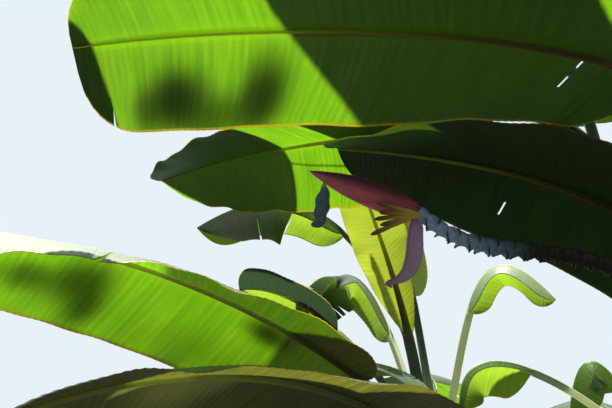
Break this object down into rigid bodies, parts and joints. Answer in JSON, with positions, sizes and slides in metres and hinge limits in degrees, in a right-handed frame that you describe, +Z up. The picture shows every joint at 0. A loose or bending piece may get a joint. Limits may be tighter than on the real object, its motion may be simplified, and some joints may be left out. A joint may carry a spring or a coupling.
{
  "type": "banana plant",
  "caption": "Flowering banana plant: leaning stems rising from one root, broad arching leaves all round, and a bent flower stalk with a pointed bud and an open bract.",
  "frame": {"origin": "middle of the tallest stem's foot, on the flat cut at ground level", "axes": "+Z up; the flower stalk bends over towards -X and a little towards -Y, and the smaller stems stand towards +Y"},
  "size_m": [2.8293, 2.5787, 2.5744],
  "materials": {
    "stem": "smooth, slightly glossy sheaths",
    "leaf": "waxy, with fine side veins",
    "flower_stalk": "dull, notched by fallen bracts",
    "flower_bud": "smooth and waxy",
    "open_bract": "smooth and waxy"
  },
  "bodies": {
    "root": {"flower_bud": "flower_bud", "flower_stalk": "flower_stalk", "leaf_1a": "leaf", "leaf_1b": "leaf", "leaf_1c": "leaf", "leaf_1d": "leaf", "leaf_1e": "leaf", "leaf_1f": "leaf", "leaf_1f_outer": "leaf", "leaf_1g": "leaf", "leaf_1g_outer": "leaf", "leaf_1h": "leaf", "leaf_1h_outer": "leaf", "leaf_1i": "leaf", "leaf_1i_outer": "leaf", "leaf_1j": "leaf", "leaf_2a": "leaf", "leaf_2b": "leaf", "leaf_2c": "leaf", "leaf_2c_outer": "leaf", "leaf_2d": "leaf", "leaf_2d_outer": "leaf", "leaf_2e": "leaf", "leaf_2e_outer": "leaf", "leaf_2f": "leaf", "leaf_2f_outer": "leaf", "leaf_2g": "leaf", "leaf_3a": "leaf", "leaf_3b": "leaf", "leaf_3c": "leaf", "leaf_3d": "leaf", "leaf_3d_outer": "leaf", "leaf_4a": "leaf", "leaf_4a_outer": "leaf", "leaf_4b": "leaf", "leaf_4b_outer": "leaf", "leaf_4c": "leaf", "leaf_4c_outer": "leaf", "leaf_4d": "leaf", "leaf_4d_outer": "leaf", "leaf_4e": "leaf", "open_bract": "open_bract", "stem_1": "stem", "stem_2": "stem", "stem_3": "stem", "stem_4": "stem", "withered_bract": "flower_stalk"}
  },
  "joints": []
}
